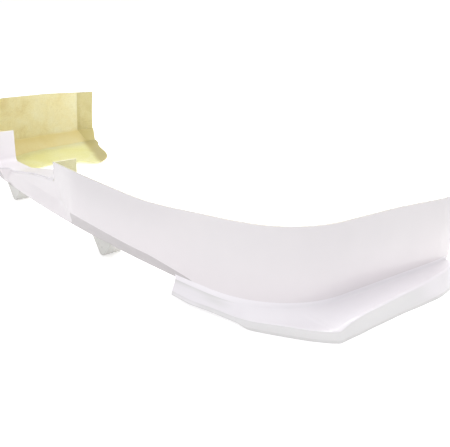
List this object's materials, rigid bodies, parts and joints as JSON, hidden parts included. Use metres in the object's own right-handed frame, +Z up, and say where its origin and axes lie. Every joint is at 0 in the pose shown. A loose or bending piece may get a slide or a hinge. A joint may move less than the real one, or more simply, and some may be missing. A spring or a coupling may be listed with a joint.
{
  "type": "bumper lip spoiler",
  "caption": "U-shaped glass-fibre bumper lip with a C-section band, corner winglets, wide inward floors, a muffler notch with a return flange and V-shaped strakes",
  "frame": {"origin": "middle of the bounding box in plan, on the plane of the winglets' undersides", "axes": "+X across the vehicle, +Y along the legs away from the wide face, +Z up"},
  "size_m": [1.664, 0.5914, 0.198],
  "materials": {
    "gelcoat": "glossy white polyester gelcoat",
    "laminate": "raw glass-fibre polyester laminate, translucent yellow, satin to rough",
    "floor_laminate": "thin raw glass-fibre laminate",
    "doubler_laminate": "thick raw glass-fibre laminate",
    "winglet_gelcoat": "glossy white gelcoat on laminate",
    "strake_gelcoat": "satin grey-white gelcoat",
    "steel": "zinc-plated folded steel",
    "spring_steel": "phosphated spring steel",
    "bond_paste": "structural bonding paste",
    "foam": "closed-cell foam sealing tape"
  },
  "bodies": {
    "root": {"gelcoat_skin": "gelcoat", "notch_return": "gelcoat", "laminate_shell": "laminate", "winglet_left": "winglet_gelcoat", "winglet_right": "winglet_gelcoat", "strake_left": "strake_gelcoat", "strake_right": "strake_gelcoat", "floor_panel_left": "floor_laminate", "floor_panel_right": "floor_laminate", "end_doubler_left": "doubler_laminate", "end_doubler_right": "doubler_laminate", "seal_tape_left": "foam", "seal_tape_right": "foam", "mounting_tab_far_left": "steel", "mounting_tab_mid": "steel", "mounting_tab_mid_right": "steel", "mounting_tab_far_right": "steel", "tab_bond_pads": "bond_paste", "spring_nuts": "spring_steel"}
  },
  "joints": []
}
